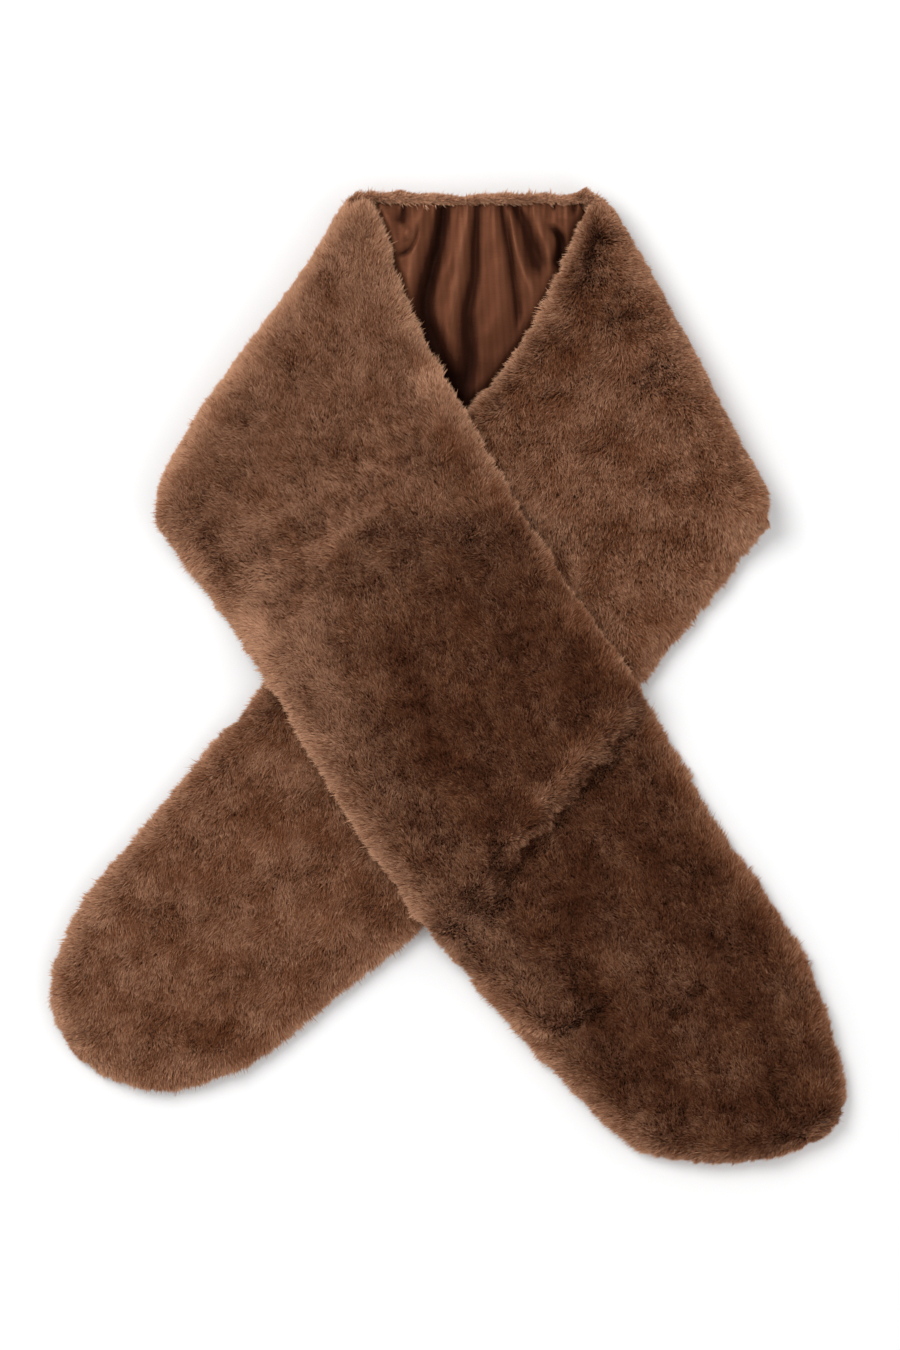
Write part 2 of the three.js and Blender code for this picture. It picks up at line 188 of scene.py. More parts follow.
# Satin: a smooth weave of fine threads across the gathers. Its own attribute holds its tone, and on the lining
# the colour goes from painted shade, nearly black, in the troughs to red brown with a painted sheen on the
# ridges.
def satinMaterial():
    material, shader = newMaterial("liningSatin")
    nodes, links = material.node_tree.nodes, material.node_tree.links
    where = nodes.new("ShaderNodeTexCoord")
    threads = nodes.new("ShaderNodeTexNoise")
    setInputs(threads, {"Scale": 160, "Detail": 4})
    stretch = nodes.new("ShaderNodeMapping")
    stretch.inputs["Scale"].default_value = (1, 14, 1)
    links.new(where.outputs["Object"], stretch.inputs["Vector"])
    links.new(stretch.outputs["Vector"], threads.inputs["Vector"])
    # The tone, with the lining's painted fold shade and sheen.
    fold = nodes.new("ShaderNodeAttribute")
    fold.attribute_name = "toneAndFoldShade"
    grain = nodes.new("ShaderNodeMapRange")
    setInputs(grain, {"To Min": -0.06, "To Max": 0.06})
    links.new(threads.outputs["Fac"], grain.inputs["Value"])
    value = nodes.new("ShaderNodeMath")
    value.operation = "ADD"
    links.new(fold.outputs["Fac"], value.inputs[0])
    links.new(grain.outputs["Result"], value.inputs[1])
    ramp = colorRamp(nodes, satinShadeAndColors)
    links.new(value.outputs["Value"], ramp.inputs["Fac"])
    links.new(ramp.outputs["Color"], shader.inputs["Base Color"])
    addBump(material, shader, threads.outputs["Fac"], 0.06, 0.0002)
    setInputs(shader, {"Metallic": 0.3, "Roughness": 0.45, "Specular IOR Level": 0.01, "Anisotropic": 0.4,
                       "Sheen Weight": 0.03, "Sheen Roughness": 0.35, "Sheen Tint": (0.75, 0.42, 0.28, 1)})
    return material


# Small formulas

def smooth(t):
    c = np.clip(t, 0, 1)
    return c * c * (3 - 2 * c)


def mix(p, q, t):
    return p + (q - p) * t


def bell(t):
    return np.exp(-(t**2))


def quarterRound(distance, radius):
    return np.sqrt(1 - (1 - np.clip(distance / radius, 0, 1)) ** 2)


def unit(vectors):
    return vectors / np.maximum(np.linalg.norm(vectors, axis=-1, keepdims=True), 1e-9)


# A smooth curve through the points, as a function of the row number: a cubic between two rows, whose
# slopes come from the rows beside them, weighed by the square root of their distance.
def throughPoints(points):
    p = np.vstack([2 * points[0] - points[1], points, 2 * points[-1] - points[-2]])
    gap = np.sqrt(np.maximum(np.linalg.norm(np.diff(p, axis=0), axis=1), 1e-6))
    last = len(points) - 2

    def at(t):
        t = np.asarray(t, float)
        i = np.clip(np.floor(t).astype(int), 0, last)
        f = (t - i)[..., None]
        before, start, end, after = p[i], p[i + 1], p[i + 2], p[i + 3]
        g0, g1, g2 = gap[i][..., None], gap[i + 1][..., None], gap[i + 2][..., None]
        slopeIn = ((start - before) / g0 - (end - before) / (g0 + g1) + (end - start) / g1) * g1
        slopeOut = ((end - start) / g1 - (after - start) / (g1 + g2) + (after - end) / g2) * g1
        return (start * (2 * f**3 - 3 * f**2 + 1) + slopeIn * (f**3 - 2 * f**2 + f)
                + end * (3 * f**2 - 2 * f**3) + slopeOut * (f**3 - f**2))

    return at


# The distance from each point to the nearest part of a path, its side (left is positive), and how far
# along the path that part lies, from 0 to 1.
def nearPath(path, x, y):
    start = path[:-1]
    step = np.diff(path, axis=0)
    length = np.maximum(np.hypot(step[:, 0], step[:, 1]), 1e-6)
    px = x[..., None] - start[:, 0]
    py = y[..., None] - start[:, 1]
    t = np.clip((px * step[:, 0] + py * step[:, 1]) / length**2, 0, 1)
    gap = np.hypot(px - t * step[:, 0], py - t * step[:, 1])
    best = gap.argmin(axis=-1)
    pick = lambda values: np.take_along_axis(values, best[..., None], axis=-1)[..., 0]
    side = np.sign(step[best, 0] * pick(py) - step[best, 1] * pick(px))
    reached = np.concatenate([[0], np.cumsum(length)])
    along = (reached[best] + pick(t) * length[best]) / reached[-1]
    return pick(gap), side, along


def sidedGap(path, x, y):
    gap, side = nearPath(path, x, y)[:2]
    return gap * side


# A smooth random field: the mean of many cosine waves of about the same length in random directions.
def waves(x, y, length, seed, count=18):
    rng = np.random.default_rng(seed)
    total = np.zeros_like(x)
    for angle, scale, phase in zip(rng.uniform(0, 2 * np.pi, count), rng.uniform(0.7, 1.5, count),
                                   rng.uniform(0, 2 * np.pi, count)):
        total += np.cos(2 * np.pi * (x * np.cos(angle) + y * np.sin(angle)) / (length * scale) + phase)
    return total * np.sqrt(2 / count)


# The sum of soft oval patches: each is a bell whose centre, half sizes and turn come from its row.
def patches(rows, x, y):
    total = np.zeros_like(x)
    for cx, cy, long, wide, turn, amount in rows:
        c, s = math.cos(math.radians(turn)), math.sin(math.radians(turn))
        along = ((x - cx) * c + (y - cy) * s) / long
        across = ((y - cy) * c - (x - cx) * s) / wide
        total += amount * np.exp(-(along**2) - across**2)
    return total


# Meshes

def addObject(name, mesh, *materials):
    thing = bpy.data.objects.new(name, mesh)
    bpy.context.scene.collection.objects.link(thing)
    for material in materials:
        mesh.materials.append(material)
    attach(thing, "root")
    return thing


# Closes a top and a bottom grid of points into one shell. Each row is a ring, and both ends are capped.
def closedShell(name, top, bottom):
    rows, columns = top.shape[:2]
    ring = np.concatenate([top, bottom[:, ::-1]], axis=1)
    around = ring.shape[1]
    number = np.arange(rows * around).reshape(rows, around)
    here, ahead = number[:-1], number[1:]
    sides = np.stack([here, ahead, np.roll(ahead, -1, axis=1), np.roll(here, -1, axis=1)], axis=-1)
    cap = lambda r: np.stack([number[r, :columns - 1], number[r, 1:columns],
                              number[r, ::-1][1:columns], number[r, ::-1][:columns - 1]], axis=-1)
    faces = np.concatenate([sides.reshape(-1, 4), cap(0), cap(rows - 1)[:, ::-1]])
    mesh = bpy.data.meshes.new(name)
    mesh.from_pydata((ring.reshape(-1, 3) * mm).tolist(), [], faces.tolist())
    isTop = np.zeros((rows - 1, around), int)
    isTop[:, columns - 1:] = 1
    slots = np.concatenate([isTop.reshape(-1), np.ones(2 * (columns - 1), int)])
    mesh.polygons.foreach_set("material_index", slots.astype(np.int32))
    work = bmesh.new()
    work.from_mesh(mesh)
    bmesh.ops.remove_doubles(work, verts=work.verts, dist=1e-5)
    bmesh.ops.dissolve_degenerate(work, edges=work.edges, dist=1e-6)
    bmesh.ops.recalc_face_normals(work, faces=work.faces)
    work.to_mesh(mesh)
    work.free()
    mesh.polygons.foreach_set("use_smooth", np.ones(len(mesh.polygons), bool))
    return mesh


# A number for each point of a mesh, from a function of the points in millimetres.
def paintPoints(mesh, name, formula):
    points = np.empty(3 * len(mesh.vertices), np.float32)
    mesh.vertices.foreach_get("co", points)
    points = points.reshape(-1, 3) / mm
    mesh.attributes.new(name, "FLOAT", "POINT").data.foreach_set("value", formula(points).astype(np.float32))


# Strands as slim blades of one triangle: a root, a point aside that gives the width, and a tip. In the map
# a strand stands upright at its tone / 2, and the point aside is a hair further across, so it has an area.
def bladeMesh(name, root, aside, tip, tone):
    count = len(root)
    mesh = bpy.data.meshes.new(name)
    mesh.vertices.add(3 * count)
    points = np.stack([root, aside, tip], axis=1).reshape(-1) * mm
    mesh.vertices.foreach_set("co", points.astype(np.float32))
    mesh.loops.add(3 * count)
    mesh.loops.foreach_set("vertex_index", np.arange(3 * count, dtype=np.int32))
    mesh.polygons.add(count)
    mesh.polygons.foreach_set("loop_start", np.arange(0, 3 * count, 3, dtype=np.int32))
    mesh.update(calc_edges=True)
    across = np.clip(tone / 2, 0.01, 0.98)[:, None] + np.array([0, 0.008, 0])
    along = np.array([0.01, bladeBelly, 0.99]) + np.zeros_like(across)
    mesh.uv_layers.new(name=strandMap).data.foreach_set("uv", np.stack([across, along], axis=-1).reshape(-1))
    return mesh


# The bands

bandSizes = dict(thickness=15, edgeHeight=5.5, upperRound=14, lowerRound=5)
backSizes = dict(thickness=12, edgeHeight=7.6, upperRound=5, lowerRound=9)
layerSizes = dict(innerFold=0.9, onBack=13.8, layerGap=0.6, foldInset=2.0)
gridSizes = dict(spacing=3.0, middleColumns=46, edgeColumns=9, edgeShare=0.092, outlineSteps=12, tipRows=3,
                 creaseInset=12, leastPile=0.6)
skinSizes = dict(every=3, lift=0.3, thinnest=0.8, leastTop=0.5, lowest=0.2, mostInset=0.45,
                 tone=(0.55, 0.06, 40))
creaseSizes = dict(waver=0.3, waverLength=20, fade=0.25, leftReach=4, rightReach=2.5, lipAt=0.2, lipLeft=3.0,
                   lipRight=1.0, bendAt=2.2, bendWidth=1.3, shineAt=0.4, shineWidth=1.1)
dropSizes = dict(underStart=-77, underLength=30, overStart=-80, overLength=44, neckSide=34,
                 creaseShort=13, creaseLong=34)

# Each row is one section of a band: its outer shoulder edge and its neck edge, x and y of both.
overRows = np.array([
    (-160.5, -75, -60.5, 80),
    (-152, -91, -46, 71),
    (-140.5, -107, -38, 51),
    (-127, -125, -30.5, 27.5),
    (-113, -145.5, -19, 1),
    (-99, -165, -2, -29),
    (-65.5, -222.5, 39.5, -101),
    (-27, -280, 82, -161),
    (3, -316, 109, -209),
    (22, -337.5, 128.5, -242),
    (41, -358, 149.5, -271),
    (67.5, -385, 171.5, -308),
    (87, -401, 183, -339),
    (112, -406.5, 189.5, -365),
    (137, -407.5, 189.5, -380),
    (157, -403.5, 184.5, -389),
    (172, -398, 172, -398),
])

# The same for the lower band, from the neck edge to the outer shoulder edge.
underRows = np.array([
    (70.5, 81.5, 158, -75.5),
    (59, 69, 149.5, -90),
    (52, 53.5, 139, -103.5),
    (45, 37, 126, -120),
    (33.5, 13, 113, -136),
    (17, -11, 97, -156),
    (-2, -33, 85, -172),
    (-48, -97.5, 39.5, -222.5),
    (-99, -164, -21, -287.5),
    (-142, -215, -67, -325),
    (-167, -245, -91, -345),
    (-184.5, -265, -110.5, -358.5),
    (-198, -287.5, -130.5, -366),
    (-206, -309, -150.5, -370),
    (-207, -326.5, -170.5, -366.5),
    (-202, -342, -184.5, -360.5),
    (-194, -353, -194, -353),
])

# Soft hollows pressed into the pile: centre, half length, half width, turn in degrees and depth.
overHollows = [
    (-115, -80, 34, 18, 55, 2.2),
    (-38, -118, 46, 22, -60, 2.4),
    (12, -158, 40, 20, -35, 2.2),
    (-14, -232, 36, 16, -58, 2.4),
    (62, -246, 44, 16, 42, 2.6),
    (44, -318, 30, 15, -20, 2.6),
    (128, -322, 34, 18, 60, 2.2),
]
underHollows = [
    (78, 20, 40, 15, -65, 2.2),
    (44, -22, 26, 16, 40, 2.0),
    (118, -62, 30, 16, -50, 2.0),
    (-128, -258, 34, 18, 50, 2.2),
    (-128, -334, 26, 12, -10, 2.8),
    (-84, -300, 26, 14, 60, 2.0),
]

# Creases: a path, the width of the step across it, how high the pile stands on its left and how deep it sinks
# on its right, how much painted light falls on its lip and how much painted shade lies below it, how far the
# pile falls over the lip, how far it turns along the bend before it, and how much painted highlight the slope
# at the lip gets.
overCreases = [
    dict(path=[(4, -259), (14, -258), (27, -251), (44.5, -235), (67, -208.5), (96, -183)], wide=5.0,
         high=1.6, deep=1.3, paintedLipLight=0.05, paintedShade=0.04, lip=0.55, turn=0.9, shine=0.32),
    dict(path=[(22, -343), (32, -343.5), (42, -341.5), (56, -336), (67, -330), (75, -323)], wide=4.0,
         high=0.8, deep=1.3, paintedLipLight=0.08, paintedShade=0.10, lip=0.5, shine=0.14),
    dict(path=[(100, -335), (105, -332), (110.5, -329)], wide=1.8,
         high=0.5, deep=1.2, paintedLipLight=0.06, paintedShade=0.46, lip=0.3),
    dict(path=[(112.5, -328), (114, -323), (118, -316)], wide=1.8,
         high=0.5, deep=1.2, paintedLipLight=0.06, paintedShade=0.44, lip=0.3),
    dict(path=[(-56, -94), (-46, -97), (-40, -95)], wide=2.6,
         high=0.4, deep=1.0, paintedLipLight=0.05, paintedShade=0.22, lip=0.3),
    dict(path=[(-73, -53), (-68, -61)], wide=2.8, high=0.3, deep=0.9, paintedLipLight=0.04, paintedShade=0.18, lip=0.3),
]
underCreases = [
    dict(path=[(-143, -330), (-133, -340), (-125, -339), (-115, -329), (-107, -332.5)], wide=3.4,
         high=0.6, deep=1.2, paintedLipLight=-0.02, paintedShade=0.12, lip=0.5),
    dict(path=[(-89, -157), (-80, -167)], wide=2.8, high=0.3, deep=0.9, paintedLipLight=0.04, paintedShade=0.16, lip=0.3),
]


def makeBand(rows, seam, bow, hollows, creases, base):
    steps = gridSizes["outlineSteps"]
    outline = np.arange(steps * (len(rows) - 1) + 1) / steps
    a, b = throughPoints(rows[:, :2]), throughPoints(rows[:, 2:])
    return dict(a=a, b=b, sideA=a(outline), sideB=b(outline), seam=np.array(seam, float), bow=bow,
                hollows=hollows, creases=creases, base=base, last=len(rows) - 1)


def underBase(x, y):
    return layerSizes["onBack"] * (1 - smooth((dropSizes["underStart"] - y) / dropSizes["underLength"]))


# The upper band rests on the back of the neck and on the lower band, and comes down softly past both.
def overBase(x, y):
    (nx, ny, ox, oy), (mx, my, px, py) = underRows[6], underRows[8]
    beside = lambda x0, y0, x1, y1: ((x - x0) * (y1 - y0) - (y - y0) * (x1 - x0)) / math.hypot(x1 - x0, y1 - y0)
    pastNeck = beside(nx, ny, mx, my)
    pastOuter = -beside(ox, oy, px, py)
    along = 1 - np.clip((ox - x) / (ox - px), 0, 1)
    outerDrop = mix(dropSizes["creaseLong"], dropSizes["creaseShort"], smooth(along))
    carried = (1 - smooth(pastNeck / dropSizes["neckSide"])) * (1 - smooth(pastOuter / outerDrop))
    offBack = layerSizes["onBack"] * (1 - smooth((dropSizes["overStart"] - y) / dropSizes["overLength"]))
    return offBack + (bandSizes["thickness"] + layerSizes["layerGap"]) * carried


overBand = makeBand(overRows, (-138, -75, -45, 80), (1.2, 2.2), overHollows, overCreases, overBase)
underBand = makeBand(underRows, (55, 80, 138, -75), (1.1, 1.0), underHollows, underCreases, underBase)
underSplit = 7


def edgeDistance(band, x, y):
    return np.minimum(nearPath(band["sideA"], x, y)[0], nearPath(band["sideB"], x, y)[0])


# The direction straight out over the nearer edge: square to that part of the edge.
def edgeOutward(band, x, y):
    gapA, gapB = nearPath(band["sideA"], x, y)[0], nearPath(band["sideB"], x, y)[0]
    turned = []
    for side, turn in ((band["sideA"], 1), (band["sideB"], -1)):
        step = unit(np.gradient(side, axis=0))
        nearest = ((x[..., None] - side[:, 0]) ** 2 + (y[..., None] - side[:, 1]) ** 2).argmin(axis=-1)
        turned.append(turn * np.stack([step[nearest, 1], -step[nearest, 0]], axis=-1))
    return np.where((gapA < gapB)[..., None], turned[0], turned[1])


# The height of the lining side and of the pile side above the lining side's own plane, by the distance
# to the edge: both are quarter rounds.
def clothDepths(distance, thickness):
    low = bandSizes["edgeHeight"] * thickness / bandSizes["thickness"]
    pile = low + (thickness - low) * quarterRound(distance, bandSizes["upperRound"])
    return pile, low * (1 - quarterRound(distance, bandSizes["lowerRound"]))


# How many widths a point lies from a crease (left is positive, and the line wavers a little), its share of the
# full step, which dies out at both ends, and the direction to the right.
def nearCrease(crease, x, y):
    path = throughPoints(np.array(crease["path"], float))(np.linspace(0, len(crease["path"]) - 1, 25))
    gap, side, along = nearPath(path, x, y)
    step = unit(np.gradient(path, axis=0))[np.round(24 * along).astype(int)]
    signed = gap * side / crease["wide"] + creaseSizes["waver"] * waves(x, y, creaseSizes["waverLength"], 61)
    share = smooth(np.minimum(along, 1 - along) / creaseSizes["fade"])
    return signed, share, np.stack([step[..., 1], -step[..., 0]], axis=-1)


# Across each crease a step, in height or in painted light and shade: the left amount * exp(-(distance /
# leftReach) ** 2) on its left, falling within one width to minus the right amount * exp(-(distance /
# rightReach) ** 2) on its right, with distances and reaches in widths.
def creaseStep(creases, leftKey, rightKey, x, y):
    total = np.zeros_like(x)
    for crease in creases:
        signed, share = nearCrease(crease, x, y)[:2]
        left = crease[leftKey] * bell(np.maximum(signed, 0) / creaseSizes["leftReach"])
        low = crease[rightKey] * bell(np.minimum(signed, 0) / creaseSizes["rightReach"])
        total += share * mix(-low, left, smooth(signed + 0.5))
    return total


# The pile on a crease's left falls over its lip towards the right, as over an edge. Where the band bends down
# before it, it turns to lie along the bend. Each is a bell around its own distance from the line, in widths.
def lipNap(creases, x, y):
    total = np.zeros(x.shape + (2,))
    for crease in creases:
        signed, share, right = nearCrease(crease, x, y)
        past = signed - creaseSizes["lipAt"]
        fall = crease["lip"] * bell(past / np.where(past > 0, creaseSizes["lipLeft"], creaseSizes["lipRight"]))
        bend = crease.get("turn", 0) * bell((signed - creaseSizes["bendAt"]) / creaseSizes["bendWidth"])
        ahead = np.stack([-right[..., 1], right[..., 0]], axis=-1)
        total += (share * fall)[..., None] * right + (share * bend)[..., None] * ahead
    return total


# The light on the slope just left of the line: shine * exp(-((distance - shineAt) / shineWidth) ** 2).
def lipShine(creases, x, y):
    total = np.zeros_like(x)
    for crease in creases:
        signed, share = nearCrease(crease, x, y)[:2]
        light = bell((signed - creaseSizes["shineAt"]) / creaseSizes["shineWidth"])
        total += share * crease.get("shine", 0) * light
    return total


# Before row 1 a band turns half round the shoulder fold: the angle turned at row s, and the share of the way
# from the upper layer down to the seam below, (1 - cos(angle)) / 2.
def foldTurn(s):
    angle = np.pi * (1 - np.clip(s, 0, 1))
    return angle, (1 - np.cos(angle)) / 2


# A point of a band at row s, share v of the width from edge a, and a depth up from the lining side.
# From row 1 on it lies on its base. Before row 1 it turns half round the shoulder fold: the centre
# moves from the upper layer to the seam below, and a sine carries the point out to the fold line.
def bandPoint(band, s, v, depth):
    flatRow = np.maximum(s, 1)
    a, b = band["a"](flatRow), band["b"](flatRow)
    plan = a + (b - a) * v[..., None]
    flat = np.concatenate([plan, (band["base"](plan[..., 0], plan[..., 1]) + depth)[..., None]], axis=-1)
    angle, share = foldTurn(s)
    thickness = mix(bandSizes["thickness"], backSizes["thickness"], share)
    upperA, upperB, foldA, foldB = band["a"](1.0), band["b"](1.0), band["a"](0.0), band["b"](0.0)
    outward = unit(np.array([foldB[1] - foldA[1], foldA[0] - foldB[0]]))
    outward = outward * np.sign(outward @ (foldA - upperA))
    even, uneven = band["bow"]
    bulge = even * np.sin(np.pi * v) + uneven * np.sin(2 * np.pi * v) - layerSizes["foldInset"]
    foldLine = foldA + (foldB - foldA) * v[..., None] + outward * bulge[..., None]
    upper = upperA + (upperB - upperA) * v[..., None]
    under = band["seam"][:2] + (band["seam"][2:] - band["seam"][:2]) * v[..., None]
    centre = upper + (under - upper) * share[..., None]
    inner = layerSizes["innerFold"]
    reach = np.sin(angle) * (inner + depth) / (inner + thickness)
    turned = centre + (foldLine - centre) * reach[..., None]
    height = backSizes["thickness"] + inner + np.cos(angle) * (inner + depth)
    folded = np.concatenate([turned, height[..., None]], axis=-1)
    return np.where((s < 1)[..., None], folded, flat)


# Rows about one spacing apart along the middle of the band.
def evenRows(band, start, end):
    fine = np.linspace(start, end, 2000)
    half = np.full_like(fine, 0.5)
    middle = bandPoint(band, fine, half, np.full_like(fine, 12.0))
    length = np.concatenate([[0], np.cumsum(np.linalg.norm(np.diff(middle, axis=0), axis=1))])
    count = max(2, round(length[-1] / gridSizes["spacing"]))
    return np.interp(np.linspace(0, length[-1], count), length, fine)


# Shares of the width, close together in the rounded edges.
def edgeShares():
    edge = gridSizes["edgeShare"]
    rounded = edge * (1 - np.cos(np.linspace(0, np.pi / 2, gridSizes["edgeColumns"], endpoint=False)))
    return np.concatenate([rounded, np.linspace(edge, 1 - edge, gridSizes["middleColumns"]), 1 - rounded[::-1]])


# The outer face of the pile on a grid, with its outward normals.
def pileFace(band, start, end):
    s, v = np.meshgrid(evenRows(band, start, end), edgeShares(), indexing="ij")
    plan = bandPoint(band, np.maximum(s, 1), v, np.zeros_like(s))
    x, y = plan[..., 0], plan[..., 1]
    distance = edgeDistance(band, x, y) * ((v > 0) & (v < 1))
    share = foldTurn(s)[1]
    thickness = mix(bandSizes["thickness"], backSizes["thickness"], share)
    pile, plain = clothDepths(distance, thickness)
    steps = creaseStep(band["creases"], "high", "deep", x, y) * smooth(distance / gridSizes["creaseInset"])
    shaped = pile + (1 - share) * (steps - patches(band["hollows"], x, y))
    depth = np.maximum(shaped, np.maximum(plain, gridSizes["leastPile"] * pile))
    face = bandPoint(band, s, v, depth)
    normal = unit(np.cross(np.gradient(face, axis=0), np.gradient(face, axis=1)))
    rounded = np.clip(1 - distance / bandSizes["upperRound"], 0, 0.98)
    steep = (thickness - plain) / bandSizes["upperRound"] * rounded / np.sqrt(1 - rounded**2)
    atEdge = np.concatenate([edgeOutward(band, x, y) * steep[..., None], np.ones_like(x)[..., None]], axis=-1)
    nearTip = smooth(s - band["last"] + gridSizes["tipRows"])[..., None]
    normal = unit(mix(normal, unit(atEdge), nearTip))
    return dict(band=band, s=s, v=v, face=face, normal=normal, distance=distance)


# The cloth under the pile: the pile's outer face moved in by the pile's depth, over the lining side.
def bandSkin(name, grid, pileDepth):
    band, lift = grid["band"], skinSizes["lift"]
    rows = np.unique(np.append(np.arange(0, grid["s"].shape[0], skinSizes["every"]), grid["s"].shape[0] - 1))
    s, v = grid["s"][rows], grid["v"][rows]
    top = (grid["face"] - grid["normal"] * pileDepth)[rows]
    a, b = band["a"](np.maximum(s, 1)), band["b"](np.maximum(s, 1))
    width = np.maximum(np.linalg.norm(b - a, axis=-1), 1)
    inset = np.minimum(pileDepth / width, skinSizes["mostInset"])
    bottom = bandPoint(band, s, inset + v * (1 - 2 * inset), np.full_like(s, lift))
    flat = s >= 1
    bottom[flat, :2] = top[flat, :2]
    bottom[flat, 2] = band["base"](top[flat, 0], top[flat, 1]) + lift
    least = np.where(flat, bottom[..., 2] + skinSizes["thinnest"], skinSizes["leastTop"])
    top[..., 2] = np.maximum(top[..., 2], least)
    bottom[..., 2] = np.maximum(bottom[..., 2], skinSizes["lowest"])
    mesh = closedShell(name, top, bottom)
    level, cloud, length = skinSizes["tone"]
    paintPoints(mesh, "toneAndFoldShade", lambda p: level + cloud * waves(p[:, 0], p[:, 1], length, 9))
    return mesh


# Pile

# Lengths in millimetres, angles in degrees, and shares.
pileSizes = dict(depth=4.8, heightSpread=0.075, width=0.45, lowest=0.4, trim=0.33, scallop=0.15,
                 scallopLength=3.6, lean=53, leanSpread=8, leanLimits=(28, 74), turnSpread=15, drift=16,
                 driftLength=24, roll=28, wisp=1.8, wobble=0.6, wobbleLength=9, gather=0.44, tuft=0.24,
                 toneSpread=0.17, wispTone=0.27)
# Factors that turn a wisp's place into a chance number from 0 to 1.
chanceFactors = (12.9898, 78.233, 43758.5453)


# Values of a grid at fractional places, mixed from the four points around each.
def sample(values, i, j):
    i0, j0 = np.floor(i).astype(int), np.floor(j).astype(int)
    f, g = (i - i0)[:, None], (j - j0)[:, None]
    flat = values.reshape(values.shape[0], values.shape[1], -1)
    low = flat[i0, j0] * (1 - g) + flat[i0, j0 + 1] * g
    high = flat[i0 + 1, j0] * (1 - g) + flat[i0 + 1, j0 + 1] * g
    return (low * (1 - f) + high * f).reshape((len(i),) + values.shape[2:])


# Strands are strewn evenly by area. Each runs straight from the backing to the outer face at its lean, so it
# goes height / tan(lean) sideways, less where the nap is shorter than one, and its tip is drawn towards the
# middle of its wisp. It is trimmed shorter where the face is steep, and uneven at the bands' free edges. The
# blade's width lies across it, rolled by chance.
def growPile(name, grid, nap, tone, count, seed, sizes, keep=None):
    rng = np.random.default_rng(seed)
    face, normal = grid["face"], grid["normal"]
    rowStep = np.linalg.norm(np.diff(face, axis=0), axis=-1)
    columnStep = np.linalg.norm(np.diff(face, axis=1), axis=-1)
    weight = rowStep[:, :-1] * columnStep[:-1]
    if keep is not None:
        weight = weight * keep[:-1, :-1]
    cell = rng.choice(weight.size, count, p=(weight / weight.sum()).reshape(-1))
    i = cell // weight.shape[1] + rng.random(count)
    j = cell % weight.shape[1] + rng.random(count)
    outer = sample(face, i, j)
    out = unit(sample(normal, i, j))
    flow = sample(nap, i, j)
    shade = sample(tone, i, j)
    x, y = outer[:, 0], outer[:, 1]
    root = outer - out * sizes["depth"]

    turn = np.radians(sizes["turnSpread"] * rng.standard_normal(count)
                      + sizes["drift"] * waves(x, y, sizes["driftLength"], seed // 10))
    flow = flow - out * (flow * out).sum(axis=1, keepdims=True)
    flow = flow / np.maximum(np.linalg.norm(flow, axis=1, keepdims=True), 1)
    side = np.cross(out, flow)
    flow = flow * np.cos(turn)[:, None] + side * np.sin(turn)[:, None]
    lean = sizes["lean"] + shade[:, 1] + sizes["leanSpread"] * rng.standard_normal(count)
    lean = np.clip(lean, *sizes["leanLimits"])

    size = sizes["wisp"]
    gx = np.floor((x + sizes["wobble"] * size * waves(x, y, sizes["wobbleLength"], 71)) / size)
    gy = np.floor((y + sizes["wobble"] * size * waves(x, y, sizes["wobbleLength"], 72)) / size)
    fx, fy, spread = chanceFactors
    chance = lambda k: np.modf(np.abs(np.sin(gx * fx + gy * fy + k) * spread))[0]
    pull = np.stack([(gx + 0.2 + 0.6 * chance(1)) * size - x, (gy + 0.2 + 0.6 * chance(2)) * size - y,
                     np.zeros(count)], axis=1)
    pull = pull - out * (pull * out).sum(axis=1, keepdims=True)
    pull = pull * np.minimum(1, size / np.maximum(np.linalg.norm(pull, axis=1, keepdims=True), 1e-6))
    steep = 1 - np.clip(out[:, 2], 0, 1)
    free = steep * smooth(sample(grid["s"], i, j) - 0.8)
    scallop = sizes["scallop"] * free * waves(x, y, sizes["scallopLength"], 73)
    uneven = sizes["tuft"] * (1 + free) * (chance(3) - 0.5) + scallop
    height = 1 + sizes["heightSpread"] * rng.standard_normal(count) + uneven - sizes["trim"] * steep
    height = sizes["depth"] * height

    run = flow / np.tan(np.radians(lean))[:, None] + out
    tip = root + run * height[:, None] + pull * sizes["gather"]
    across = unit(np.cross(run, out))
    over = unit(np.cross(across, run))
    roll = np.radians(sizes["roll"]) * rng.standard_normal(count)
    across = across * np.cos(roll)[:, None] + over * np.sin(roll)[:, None]
    width = sizes["width"] * rng.uniform(0.8, 1.2, count) * rng.choice([-1, 1], count)
    aside = mix(root, tip, bladeBelly) + across * width[:, None]
    for points in (root, aside, tip):
        points[:, 2] = np.maximum(points[:, 2], sizes["lowest"])
    strand = 1 + sizes["toneSpread"] * rng.standard_normal(count) + sizes["wispTone"] * (chance(4) - 0.5)
    return bladeMesh(name, root, aside, tip, shade[:, 0] * strand)


# Nap and tone

